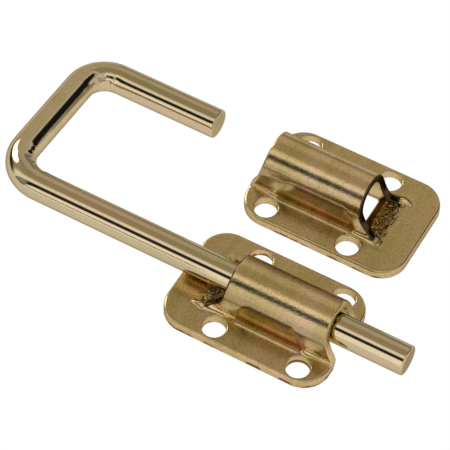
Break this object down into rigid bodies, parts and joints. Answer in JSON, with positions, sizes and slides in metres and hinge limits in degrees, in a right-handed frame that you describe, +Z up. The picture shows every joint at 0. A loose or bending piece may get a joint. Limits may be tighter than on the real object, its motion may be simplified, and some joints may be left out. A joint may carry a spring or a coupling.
{
  "type": "toggle bolt latch",
  "caption": "Surface-mounted door latch: a bent round bolt with a C-shaped handle slides and turns in a pressed loop plate, with a matching pressed keeper plate.",
  "frame": {"origin": "centre of the latch plate's four screw holes, on its underside", "axes": "+X along the bolt towards its tip, +Y from the latch plate towards the keeper plate, +Z up, away from the surface that the plates are screwed to"},
  "size_m": [0.0911, 0.0536, 0.0116],
  "materials": {
    "pressed_sheet": "satin yellow-chromated zinc plate on pressed steel sheet",
    "rod": "bright yellow-chromated zinc plate on drawn steel rod"
  },
  "bodies": {
    "plates": {"latch_plate": "pressed_sheet", "keeper_plate": "pressed_sheet"},
    "bolt": {"bolt_tip": "rod"},
    "handle": {"bolt_handle": "rod"}
  },
  "joints": [
    {"name": "bolt_slide", "type": "slide", "parent": "plates", "child": "bolt", "axis": [1, 0, 0], "range_m": [-0.0127, 0.0118]},
    {"name": "bolt_turn", "type": "hinge", "parent": "bolt", "child": "handle", "pos_m": [0, 0, 0.00624], "axis": [1, 0, 0], "range_deg": [0, 191]}
  ]
}
